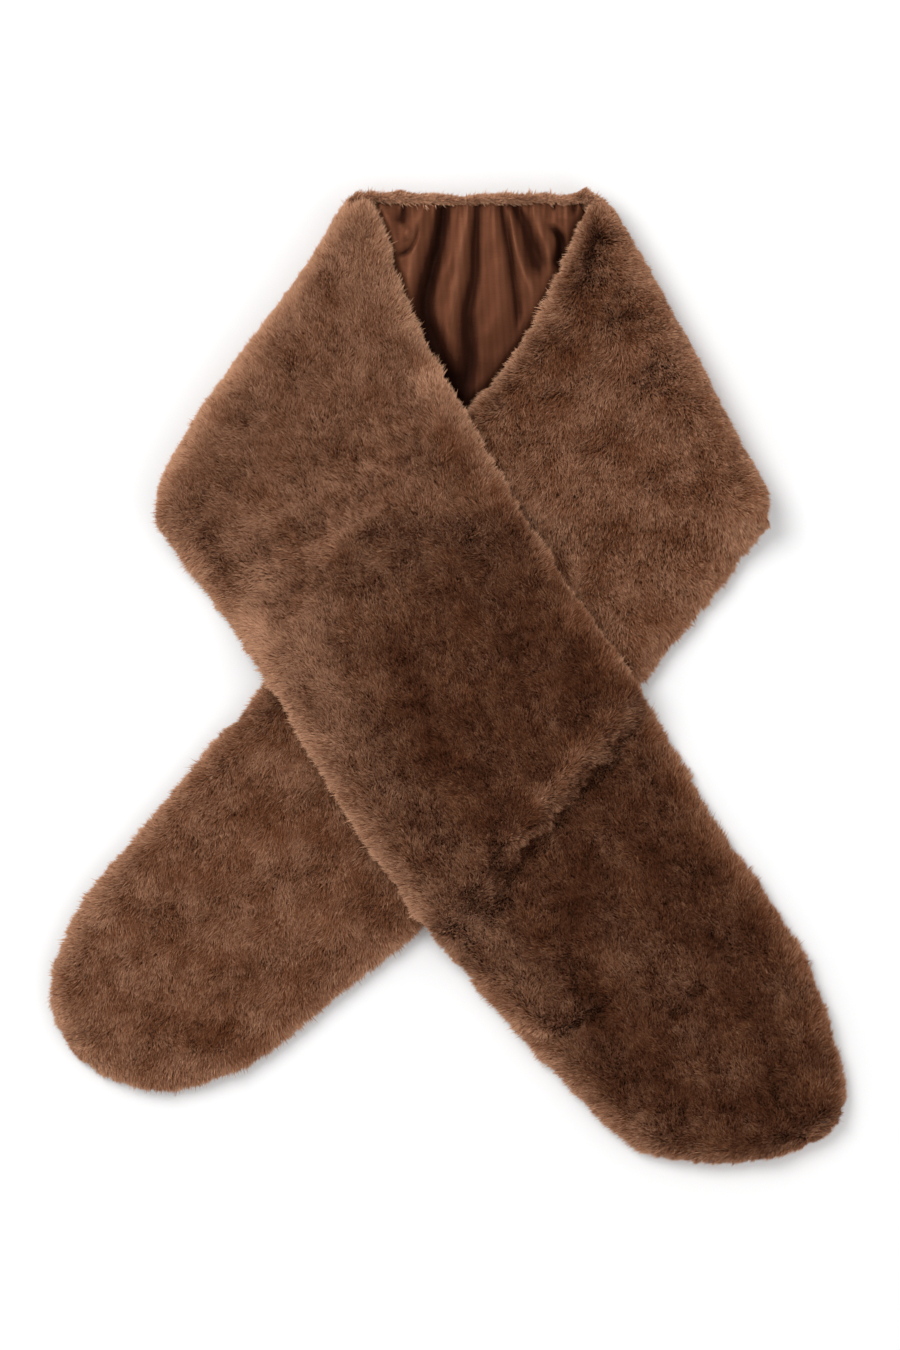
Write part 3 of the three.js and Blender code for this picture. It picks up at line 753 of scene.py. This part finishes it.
# Painted light and shade: patches of the pile painted paler where they catch more light and darker where they
# catch less, and on the lower band a painted shadow along the upper band's edge. Each row: centre, half length,
# half width, turn, amount.
overLightAndShade = [
    (-53, 42, 44, 13, -70, 0.12),
    (-121, -19, 62, 7, 57, 0.10),
    (-133, -110, 42, 8, -60, 0.12),
    (-68, -62, 14, 11, 0, 0.12),
    (-102, -113, 34, 10, -75, 0.22),
    (-82, -140, 44, 20, -60, 0.22),
    (-75, -175, 36, 13, -60, 0.12),
    (-82, -178, 40, 9, -60, 0.10),
    (-46, -202, 22, 9, -60, 0.12),
    (-36, -252, 40, 9, -57, 0.12),
    (-125, -88, 17, 14, 0, -0.04),
    (-14, -88, 28, 13, -30, 0.18),
    (-46, -99, 28, 18, -30, 0.18),
    (40.5, -220.5, 46, 4.5, 50, 0.11),
    (-103, -21, 68, 7, 60, 0.08),
    (-93, -93, 18, 9, 45, 0.12),
    (83, -187, 12, 9, 0, 0.16),
    (-20, -200, 38, 15, -60, -0.16),
    (65, -155, 26, 20, -40, -0.16),
    (150, -318, 44, 8, -60, 0.14),
    (30, -348, 36, 7, -42, 0.14),
    (51, -284, 17, 12, 80, -0.24),
    (97, -262, 16, 9, -50, -0.14),
    (134, -298, 18, 11, -60, -0.16),
    (140, -326, 12, 9, 0, -0.12),
    (82, -340, 20, 8, 0, -0.14),
    (74, -367, 24, 8, -10, -0.14),
    (150, -380, 14, 10, 0, -0.12),
    (6, -286, 16, 11, -55, 0.28),
    (10, -276, 13, 6, -20, 0.16),
    (84, -284, 14, 10, 0, 0.10),
    (106, -316, 20, 13, 0, 0.28),
    (78, -305, 16, 12, 0, 0.14),
    (127, -360, 18, 12, 20, 0.14),
    (102, -345, 14, 9, 0, 0.18),
    (110, -388, 24, 6, 0, 0.10),
]
underLightAndShade = [
    (37, -70, 22, 14, -50, 0.12),
    (63, 24, 12, 17, 0, -0.14),
    (93, -13, 13, 10, 0, 0.16),
    (53, 0, 11, 8, 0, -0.22),
    (40, -34, 12, 9, 0, -0.12),
    (-174, -266, 42, 8, 55, 0.17),
    (-199, -315, 22, 8, 80, 0.14),
    (-128, -337, 20, 8, 0, -0.08),
    (-124, -321, 22, 10, 0, -0.15),
    (-103, -237, 20, 9, 80, -0.12),
    (-143, -280, 11, 9, 0, -0.10),
    (-140, -265, 12, 8, 0, -0.10),
    (-80, -310, 14, 9, 30, -0.12),
    # A painted shadow of the upper band's edge on the tail.
    (-50, -262, 34, 8, -57, -0.18),
]


# The last three are rows from and to which the nap on a gentle slope is shortened, and by how much.
upperNap = dict(splay=0.8, lowerLength=0.74, lowerPaintedShade=0.22, level=(2.6, 9.5, 1.5))
lowerNap = dict(splay=1.1, level=(1.8, 7.2, 1.2))
napSizes = dict(splayReach=22, levelInset=8, levelFade=14, lipLimit=0.8, leastLength=0.1, mostLength=1.5)
toneSizes = dict(flatInset=10, flatFade=14, cloud=0.05, cloudLength=34, cloudlet=0.045, cloudletLength=17,
                 leanWave=4, leanLength=30, leanByPaintedLight=16, slopeLean=6)


# The way the pile lies: a direction in the plan, taken as so much along the band and so much across it, and
# carried over the folds and edges by the face's own tangents. Near the edges it turns outwards. Between two
# rows it is shortened downhill by so much times its drop, so that a gentle slope doesn't shine.
def napField(grid, main, splay, level):
    band, face = grid["band"], grid["face"]
    lip = lipNap(band["creases"], face[..., 0], face[..., 1])
    main = main + lip
    s = np.clip(grid["s"], 1, band["last"] - 0.6)
    plan = lambda row: band["a"](row) + (band["b"](row) - band["a"](row)) * grid["v"][..., None]
    rowStep = unit(plan(s + 0.05) - plan(s))
    columnStep = unit(band["b"](s) - band["a"](s))
    cross = lambda p, q: p[..., 0] * q[..., 1] - p[..., 1] * q[..., 0]
    area = cross(rowStep, columnStep)
    along = cross(main, columnStep) / area
    across = cross(rowStep, main) / area
    near = (1 - smooth(grid["distance"] / napSizes["splayReach"])) * smooth((grid["s"] - 0.5) / 0.3)
    across = across + np.where(grid["v"] > 0.5, 1.0, -1.0) * near * splay
    field = unit(np.gradient(face, axis=0)) * along[..., None]
    field = field + unit(np.gradient(face, axis=1)) * across[..., None]
    field = field / np.maximum(np.linalg.norm(field, axis=-1, keepdims=True), 1)
    first, last, amount = level
    inside = smooth((grid["distance"] - napSizes["levelInset"]) / napSizes["levelFade"])
    within = smooth(grid["s"] - first) * smooth(last - grid["s"]) * inside
    within = within * (1 - smooth(np.linalg.norm(lip, axis=-1) / napSizes["lipLimit"]))
    length = np.clip(1 + amount * within * field[..., 2], napSizes["leastLength"], napSizes["mostLength"])
    return field * length[..., None]


# On the upper band it lies towards the shoulder fold, and stands up more in the dark lower part.
def overNap(grid):
    towardNeck = smooth((grid["v"] - 0.15) / 0.7)
    shoulder = np.stack([mix(-0.80, -0.14, towardNeck), mix(0.6, 1.0, towardNeck)], axis=-1)
    lower = np.array([-0.50, 0.86]) * upperNap["lowerLength"]
    main = mix(shoulder, lower, smooth((grid["s"] - 4) / 2.4)[..., None])
    return napField(grid, main, upperNap["splay"], upperNap["level"])


# On the lower band it lies down and outwards over the shoulder fold, then straight down, then down and left.
def underNap(grid):
    s, towardOuter = grid["s"], smooth((grid["v"] - 0.35) / 0.6)
    fold = np.stack([mix(0.55, 0.85, towardOuter), mix(-0.35, -0.5, towardOuter)], axis=-1)
    right = np.stack([mix(-0.25, 0.45, towardOuter), np.full_like(s, -0.95)], axis=-1)
    tail = np.array([-0.28, -0.96])
    main = mix(fold, right, smooth((s - 0.9) / 1.8)[..., None])
    return napField(grid, mix(main, tail, smooth((s - 5) / 2)[..., None]), lowerNap["splay"], lowerNap["level"])


# Tone in the first channel and extra lean, in degrees, in the second. The tone holds painted light and shade:
# the patches, the painted lip light and shade at the creases, the lip shine, and a painted rim highlight where
# the face slopes at an edge or a fold, the rim amount times (1 - the upward part of the normal) ** 0.8. The
# clouds are tone that differs at random.
def toneField(grid, rows, level, paintedRimLight, seed):
    x, y, creases, sizes = grid["face"][..., 0], grid["face"][..., 1], grid["band"]["creases"], toneSizes
    inside = smooth((grid["distance"] - sizes["flatInset"]) / sizes["flatFade"])
    slope = (1 - inside * smooth((grid["s"] - 1) / 0.9)) * np.clip(1 - grid["normal"][..., 2], 0, 1) ** 0.8
    cloud = sizes["cloud"] * waves(x, y, sizes["cloudLength"], seed)
    cloud = cloud + sizes["cloudlet"] * waves(x, y, sizes["cloudletLength"], seed + 3)
    # Painted light and shade: the patches, and the painted lip light and shade at the creases.
    paintedLightAndShade = patches(rows, x, y) + creaseStep(creases, "paintedLipLight", "paintedShade", x, y)
    # The tone adds a painted rim highlight on the slopes and the painted lip highlight.
    tone = level + paintedLightAndShade + paintedRimLight * slope + cloud + lipShine(creases, x, y)
    lean = sizes["leanWave"] * waves(x, y, sizes["leanLength"], seed + 6)
    lean = lean - sizes["leanByPaintedLight"] * paintedLightAndShade - sizes["slopeLean"] * slope
    return np.stack([tone, lean], axis=-1)


strandShare, strandWiden = ((1.0, 1.0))
strandSizes = dict(pileSizes, width=pileSizes["width"] * strandWiden)

backing, satin, plush = backingMaterial(), satinMaterial(), pileMaterial()


def dress(name, node, mesh):
    skin = addObject(name, mesh, backing, satin)
    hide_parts(node)


# Fewer strands grow where the fold turns under, none at its two corners there, and more on its outside,
# where they fan out.
def foldShare(grid):
    share = np.interp(grid["s"], [0.3, 0.45, 0.55, 1.05, 1.3], [0.35, 0.75, 1.2, 1.2, 1.0])
    under = 1 - smooth((grid["s"] - 0.35) / 0.2)
    return share * (1 - under * smooth((np.abs(grid["v"] - 0.5) - 0.38) / 0.08))


def buildOverBand():
    grid = pileFace(overBand, 0, overBand["last"])
    nap = overNap(grid)
    tone = toneField(grid, overLightAndShade, 1.02, 0.86, 11)
    # Painted shade: the lower part of the upper band is painted darker, all but a strip along its outer edge
    # that narrows away before the tip.
    paleShare = mix(0.16, 0.0, smooth((grid["s"] - 8) / 3))
    paintedShade = smooth((grid["s"] - 4.6) / 1.5) * smooth((grid["v"] - paleShare) / 0.24)
    tone[..., 0] *= 1 - upperNap["lowerPaintedShade"] * paintedShade
    keep = foldShare(grid)
    for k in range(3):
        name = f"over_band_pile_{k + 1}"
        mesh = growPile(name, grid, nap, tone, int(176000 * strandShare), 100 + k, strandSizes, keep)
        addObject(name, mesh, plush)
    skin = bandSkin("over_band_cloth", grid, pileSizes["depth"])
    dress("over_band_cloth", "over_band_fur", skin)


# How deep a point lies under the upper band, from its outline in.
def hiddenDepth(x, y):
    return np.maximum(np.minimum(sidedGap(overBand["sideA"], x, y), -sidedGap(overBand["sideB"], x, y)), 0)


def buildUnderBand():
    for name, node, start, end, count, seed, flat, area in (
        ("under_shoulder", "under_shoulder_fur", 0, underSplit, 152000, 200, (0.155, 0.30), 0.040),
        ("under_tail", "under_tail_fur", underSplit + 0.005, underBand["last"], 168000, 250,
         (0.150, 0.30), 0.036),
    ):
        grid = pileFace(underBand, start, end)
        tone = toneField(grid, underLightAndShade, 0.95, 0.76, 21)
        x, y = grid["face"][..., 0], grid["face"][..., 1]
        keep = np.where(hiddenDepth(x, y) > 16, 0.0, foldShare(grid))
        strands = int(count * strandShare)
        mesh = growPile(f"{name}_pile", grid, underNap(grid), tone, strands, seed, strandSizes, keep)
        pile = addObject(f"{name}_pile", mesh, plush)
        skin = bandSkin(f"{name}_cloth", grid, pileSizes["depth"])
        dress(f"{name}_cloth", node, skin)


# The back of the neck

backSpan = dict(low=-75, high=80, left=(-138, -45), right=(138, 55), gap=0.36)
backCloth = dict(rows=60, plain=(-72, 60, 16), hem=(66, 74.6, 10), top=11.0, bottom=2.0, rise=3.0, crestAt=73.6,
                 crestWidth=1.9)

# The rolled edge: y and z round it, and how far its crest lies above or below that along x.
rollProfile = np.array([(68.9, 12.2), (71.0, 12.8), (71.8, 15.4), (73.8, 17.6), (76.4, 16.6), (78.0, 12.6),
                        (78.4, 7.6), (76.4, 3.0), (72.4, 0.8), (66.4, 0.3)])
rollCrest = np.array([(-52, -1.0), (-43.5, -0.2), (-35, 0.5), (-26, -0.7), (-17, -0.8), (-9, -1.6), (0.5, -2.4),
                      (8, -1.4), (17, -0.8), (25.5, -1.8), (31.5, -1.4), (36.5, -0.8), (42.5, -1.9),
                      (49.5, -1.7), (54, -0.4), (58.5, 1.2), (62, -1.2), (69, -3.0)])
rollReach = dict(left=13, right=8)
rollSizes = dict(pileSizes, trim=0.1, depth=3.2, tuft=0.42, lean=43, turnSpread=24, gather=0.5)


def backEdges(y):
    t = (y - backSpan["low"]) / (backSpan["high"] - backSpan["low"])
    return mix(*backSpan["left"], t) + backSpan["gap"], mix(*backSpan["right"], t) - backSpan["gap"]


# The pile edge turned over the lining: its profile, from the lining over the crest and round below,
# carried from one shoulder to the other with a crest that goes up and down a little.
def rollFace():
    profile = throughPoints(rollProfile)(np.linspace(0, len(rollProfile) - 1, 40))
    i, j = np.meshgrid(np.linspace(0, 1, 110), np.arange(len(profile)), indexing="ij")
    y, z = profile[j, 0], profile[j, 1]
    left, right = backEdges(np.minimum(y, 80))
    outer = smooth((y - 67) / 9)
    x = mix(left - rollReach["left"] * outer, right + rollReach["right"] * outer, i)
    sway = np.interp(x, rollCrest[:, 0], rollCrest[:, 1]) + 0.25 * np.sin(x / 2.9)
    ends = np.minimum(1, np.minimum((x - x.min()) / 7, (x.max() - x) / 3))
    drop = 1 - np.sqrt(1 - (1 - np.clip(ends, 0, 1)) ** 2)
    lift = 0.30 * (np.exp((x.min() - x) / 14) + np.exp((x - x.max()) / 14)) + 0.03 * np.sin(x / 9)
    face = np.stack([x, y + sway * outer - 5 * drop * outer, z * (1 - 0.35 * drop + lift)], axis=-1)
    normal = unit(np.cross(np.gradient(face, axis=0), np.gradient(face, axis=1)))
    return dict(s=i, face=face, normal=normal)


def buildBack():
    grid = rollFace()
    x = grid["face"][..., 0]
    flow = np.stack([np.full_like(x, 0.95), 0.28 + 0.5 * np.sin(x / 15), np.zeros_like(x)], axis=-1)
    tone = np.stack([1.40 + 0.06 * np.sin(x / 6), np.zeros_like(x)], axis=-1)
    mesh = growPile("back_neck_pile", grid, flow, tone, int(46000 * strandShare), 300,
                    dict(rollSizes, width=rollSizes["width"] * strandWiden))
    pile = addObject("back_neck_pile", mesh, plush)
    rows, rise = backCloth["rows"], backCloth["rise"]
    y = np.concatenate([np.linspace(*backCloth["plain"]), np.linspace(*backCloth["hem"])]) * np.ones((rows, 1))
    left, right = backEdges(y)
    plan = mix(left, right, np.linspace(0, 1, rows)[:, None] * np.ones(y.shape[1]))
    crest = rise * bell((y - backCloth["crestAt"]) / backCloth["crestWidth"])
    high = backCloth["top"] + crest - rise * smooth((y - 74) / 2)
    low = backCloth["bottom"] + rise * smooth((y - 72) / 6) + rise * smooth((-66 - y) / 6)
    top, bottom = np.stack([plan, y, high], axis=-1), np.stack([plan, y, low], axis=-1)
    skin = closedShell("back_neck_cloth", top, bottom)
    cloth = addObject("back_neck_cloth", skin, backing, backing)
    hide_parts("back_neck_fur")


# Gathered satin. Its troughs run down from the hem: each has a path, a half width at its start and end, a
# depth and a painted shade. The ridges are the low swells between them, with a height and a painted sheen.
satinSizes = dict(rows=150, columns=84, wall=0.9, lift=0.35, lowest=-0.3, sideInset=2.6, top=72.6, low=-51,
                  swell=4.6, fadeStart=-4.5, fadeLength=8)
satinTroughs = [
    ([(-31, 74), (-31.2, 66.5), (-33.5, 61)], (1.2, 3.1), 1.4, 0.42),
    ([(-24, 62), (-24.6, 56), (-26.6, 51), (-30, 47.6), (-37, 45)], (0.9, 1.3), 1.1, 0.36),
    ([(-10.5, 74), (-13, 57), (-17.5, 38.5), (-21, 20), (-17, 4), (-10, -12),
      (-3, -28), (0, -40)], (3.2, 6.2), 2.8, 0.68),
    ([(6, 74), (4.5, 53), (3.8, 35), (1, 20), (0.8, 9), (1.6, -5.5),
      (-0.6, -20), (0.8, -32)], (1.7, 4.4), 2.0, 0.48),
    ([(17, 74), (20, 57), (22, 46), (23.6, 35), (25.5, 16), (24, 4)], (1.8, 2.0), 1.7, 0.36),
    ([(22.5, 74), (27.5, 64.5), (31.5, 54.6), (34, 46), (37.5, 34)], (2.2, 5.4), 2.0, 0.44),
    ([(40, 61), (44, 58.5), (47, 54), (46.8, 46), (45, 38)], (1.0, 3.8), 2.6, 0.66),
    ([(43.5, 74), (43.9, 68)], (1.2, 0.9), 1.0, 0.42),
    ([(53, 74), (54, 66)], (1.8, 2.1), 1.1, 0.24),
]
satinRidges = [
    ([(-41.5, 72), (-36, 55), (-34, 48)], (1.8, 2.0), 0.7, 0.08),
    ([(-29, 60), (-29.5, 54)], (1.7, 2.0), 1.2, 0.16),
    ([(-22, 72), (-25.6, 49.5), (-28, 35), (-29, 24)], (2.2, 3.0), 0.8, 0.12),
    ([(-6, 70), (-7, 50), (-9.5, 30)], (1.4, 1.8), 0.4, 0.07),
    ([(0.5, 72), (-2, 50), (-5.5, 30), (-8.5, 10), (-10, -8)], (2.0, 2.8), 0.7, 0.14),
    ([(9.5, 70), (9.5, 50), (10, 30)], (1.3, 2.0), 0.4, 0.06),
    ([(14, 72), (15.5, 49.5), (16, 31), (14, 12), (10, -8)], (1.8, 4.0), 0.6, 0.08),
    ([(21.5, 69), (24.3, 53), (27.2, 42), (31.6, 31), (34.5, 22)], (1.1, 2.4), 1.0, 0.16),
    ([(34, 71), (37.5, 57), (40.4, 47), (42.6, 36)], (2.2, 2.4), 0.8, 0.14),
    ([(47.5, 70), (48, 64)], (2.8, 3.0), 0.6, 0.12),
]


# The sum over the folds of amount * exp(-(gap / half width) ** 2), with the half width changing evenly
# from start to end. Each fades out over the last quarter of its path, and in where it begins below the hem.
# The amount is the height or depth (part 0) or the painted sheen or painted shade (part 1).
def foldSum(folds, part, x, y):
    total = np.zeros_like(x)
    for points, wide, *amounts in folds:
        path = throughPoints(np.array(points, float))(np.linspace(0, len(points) - 1, 21))
        gap, along = nearPath(path, x, y)[::2]
        ends = smooth((1.02 - along) / 0.25) * (1 if points[0][1] > 66 else smooth((along + 0.06) / 0.36))
        total += amounts[part] * bell(gap / mix(*wide, along)) * ends
    return total


# The height of the satin: an even swell, plus the ridges, less the troughs, with fine pleats under the hem.
# It dies out just inside the edges of the pile, under which the lining is sewn down.
def satinHeight(x, y):
    height = satinSizes["swell"] + foldSum(satinRidges, 0, x, y)
    height = height - np.minimum(foldSum(satinTroughs, 0, x, y), satinSizes["swell"])
    hem = np.exp(-((satinSizes["top"] - y) / 7))
    pleats = 0.5 * np.sin(x * 1.15 + 0.6 * np.sin(x / 5)) + 0.3 * np.sin(x * 2.3)
    height = height * (1 - 0.5 * hem) + hem * pleats
    inside = np.minimum(sidedGap(overBand["sideB"], x, y), -sidedGap(underBand["sideA"], x, y))
    fade = smooth((inside - satinSizes["fadeStart"]) / satinSizes["fadeLength"])
    return (height + 0.15 * waves(x, y, 14, 44)) * fade


# How pale the satin is painted, from 0 to 1: mid brown, with a painted sheen on the ridges, painted shade in
# the troughs and more painted shade lower down between the bands, faintly streaked.
def satinTone(points):
    x, y = points[:, 0], points[:, 1]
    streaks = 0.035 * np.sin(1.9 * x + 0.12 * y) + 0.03 * np.sin(0.83 * x - 0.05 * y + 1)
    # Painted shade that grows downwards, into the V between the bands.
    lower = 0.15 * smooth((36 - y) / 60)
    folds = foldSum(satinRidges, 1, x, y) - foldSum(satinTroughs, 1, x, y)
    return np.clip(0.66 + streaks - lower + folds, 0.02, 1)


def buildLining():
    rows, columns, inset = satinSizes["rows"], satinSizes["columns"], satinSizes["sideInset"]
    y = np.linspace(satinSizes["low"], satinSizes["top"], columns) * np.ones((rows, 1))
    left, right = backEdges(y)
    x = mix(left + inset, right - inset, np.linspace(0, 1, rows)[:, None] * np.ones(columns))
    floor = backSizes["thickness"] + satinSizes["lift"]
    height = np.maximum(satinHeight(x, y), satinSizes["lowest"])
    top = np.stack([x, y, floor + satinSizes["wall"] + height], axis=-1)
    bottom = np.stack([x, y, floor + height], axis=-1)
    mesh = closedShell("neck_lining_satin", top, bottom)
    paintPoints(mesh, "toneAndFoldShade", satinTone)
    lining = addObject("neck_lining_satin", mesh, satin, satin)
    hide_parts("neck_lining")


print("camera and studio")
placeCamera(cameraSizes)
buildStudio(studioSizes)
print("back of the neck")
buildBack()
print("lining")
buildLining()
print("lower band")
buildUnderBand()
print("upper band")
buildOverBand()

print("finished")
